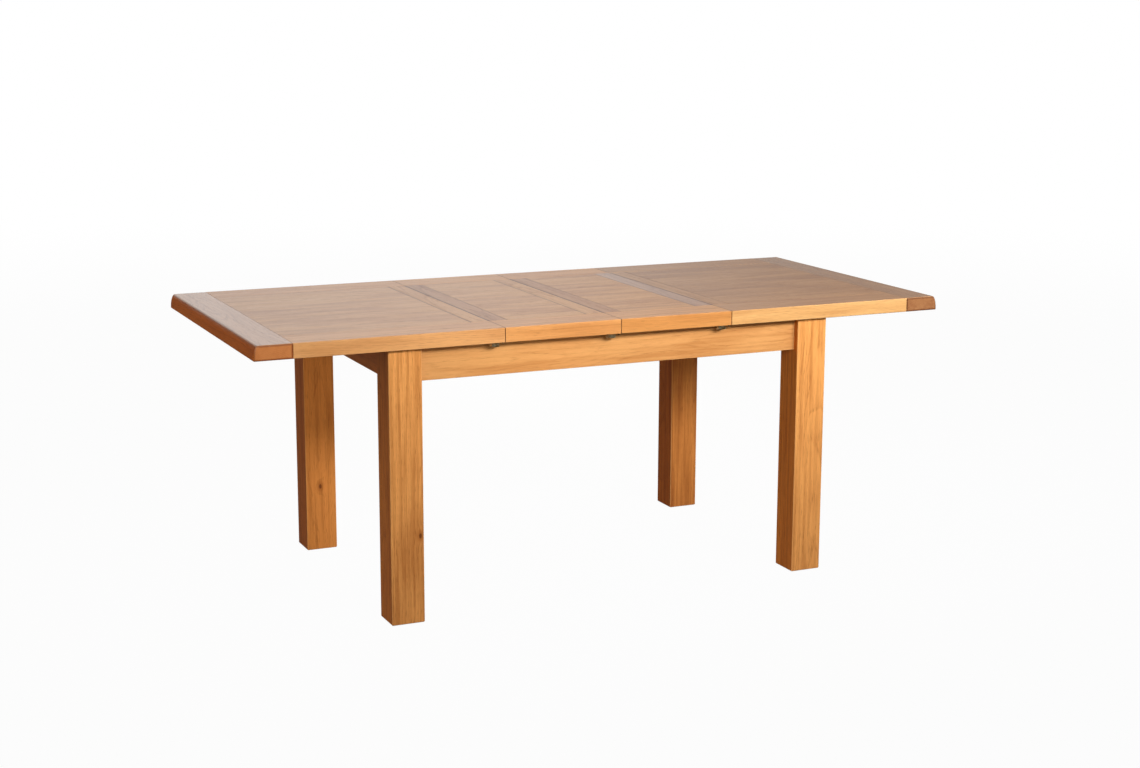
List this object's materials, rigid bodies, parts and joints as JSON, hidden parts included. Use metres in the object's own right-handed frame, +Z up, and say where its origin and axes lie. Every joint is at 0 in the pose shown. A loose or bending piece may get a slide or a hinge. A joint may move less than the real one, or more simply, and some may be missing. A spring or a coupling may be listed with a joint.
{
  "type": "extending dining table",
  "caption": "Oak extending dining table: plain square legs on a fixed frame, sliding top halves with breadboard ends, loose centre leaves and brass cam catches.",
  "frame": {"origin": "centre of the footprint on the floor", "axes": "+X along the table's length, +Y from the pictured front to the rear, +Z up"},
  "size_m": [1.98, 0.88, 0.764],
  "materials": {
    "oak_field": "satin lacquer",
    "oak_border": "satin lacquer",
    "oak_cross": "satin lacquer",
    "oak_leg": "satin lacquer",
    "oak_apron": "satin lacquer",
    "beech": "waxed",
    "brass": "satin",
    "steel": "zinc plated"
  },
  "bodies": {
    "frame": {"corner_block_front_left": "beech", "corner_block_front_right": "beech", "corner_block_rear_left": "beech", "corner_block_rear_right": "beech", "front_apron": "oak_apron", "front_slide_rail": "beech", "left_cross_bearer": "beech", "left_end_apron": "oak_apron", "leg_flange_nuts": "steel", "leg_front_left": "oak_leg", "leg_front_right": "oak_leg", "leg_hanger_bolts": "steel", "leg_rear_left": "oak_leg", "leg_rear_right": "oak_leg", "rear_apron": "oak_apron", "rear_slide_rail": "beech", "right_cross_bearer": "beech", "right_end_apron": "oak_apron", "runner_stop_pins": "beech"},
    "left_top": {"left_catch_plates": "brass", "left_dowels": "beech", "left_end_board": "oak_cross", "left_field": "oak_field", "left_front_border": "oak_border", "left_front_runner": "beech", "left_rear_border": "oak_border", "left_rear_runner": "beech", "left_runner_screws": "steel", "left_seam_strip": "oak_cross"},
    "right_top": {"right_end_board": "oak_cross", "right_field": "oak_field", "right_front_border": "oak_border", "right_front_runner": "beech", "right_keepers": "brass", "right_rear_border": "oak_border", "right_rear_runner": "beech", "right_runner_screws": "steel", "right_seam_strip": "oak_cross"},
    "left_leaf": {"left_leaf_catch_plates": "brass", "left_leaf_dowels": "beech", "left_leaf_field": "oak_field", "left_leaf_front_border": "oak_border", "left_leaf_keepers": "brass", "left_leaf_rear_border": "oak_border", "left_leaf_strip_left": "oak_cross", "left_leaf_strip_right": "oak_cross"},
    "right_leaf": {"right_leaf_catch_plates": "brass", "right_leaf_dowels": "beech", "right_leaf_field": "oak_field", "right_leaf_front_border": "oak_border", "right_leaf_keepers": "brass", "right_leaf_rear_border": "oak_border", "right_leaf_strip_left": "oak_cross", "right_leaf_strip_right": "oak_cross"},
    "cam_left_front": {"cam_left_front": "brass"},
    "cam_left_rear": {"cam_left_rear": "brass"},
    "cam_middle_front": {"cam_middle_front": "brass"},
    "cam_middle_rear": {"cam_middle_rear": "brass"},
    "cam_right_front": {"cam_right_front": "brass"},
    "cam_right_rear": {"cam_right_rear": "brass"}
  },
  "joints": [
    {"name": "left_top_slide", "type": "slide", "parent": "frame", "child": "left_top", "axis": [-1, 0, 0], "range_m": [0, 0.06]},
    {"name": "right_top_slide", "type": "slide", "parent": "frame", "child": "right_top", "axis": [1, 0, 0], "range_m": [0, 0.06]},
    {"name": "left_leaf_slide", "type": "slide", "parent": "frame", "child": "left_leaf", "axis": [-1, 0, 0], "range_m": [0, 0.02]},
    {"name": "right_leaf_slide", "type": "slide", "parent": "frame", "child": "right_leaf", "axis": [1, 0, 0], "range_m": [0, 0.02]},
    {"name": "cam_left_front_turn", "type": "hinge", "parent": "left_top", "child": "cam_left_front", "pos_m": [-0.344, -0.415, 0.718], "axis": [0, 0, 1], "range_deg": [0, 125]},
    {"name": "cam_left_rear_turn", "type": "hinge", "parent": "left_top", "child": "cam_left_rear", "pos_m": [-0.344, 0.415, 0.718], "axis": [0, 0, -1], "range_deg": [0, 125]},
    {"name": "cam_middle_front_turn", "type": "hinge", "parent": "left_leaf", "child": "cam_middle_front", "pos_m": [-0.014, -0.415, 0.718], "axis": [0, 0, 1], "range_deg": [0, 125]},
    {"name": "cam_middle_rear_turn", "type": "hinge", "parent": "left_leaf", "child": "cam_middle_rear", "pos_m": [-0.014, 0.415, 0.718], "axis": [0, 0, -1], "range_deg": [0, 125]},
    {"name": "cam_right_front_turn", "type": "hinge", "parent": "right_leaf", "child": "cam_right_front", "pos_m": [0.316, -0.415, 0.718], "axis": [0, 0, 1], "range_deg": [0, 125]},
    {"name": "cam_right_rear_turn", "type": "hinge", "parent": "right_leaf", "child": "cam_right_rear", "pos_m": [0.316, 0.415, 0.718], "axis": [0, 0, -1], "range_deg": [0, 125]}
  ],
  "couplings": [
    {"joint": "left_leaf_slide", "follows": "left_top_slide", "ratio": 0.3333},
    {"joint": "right_leaf_slide", "follows": "right_top_slide", "ratio": 0.3333}
  ]
}
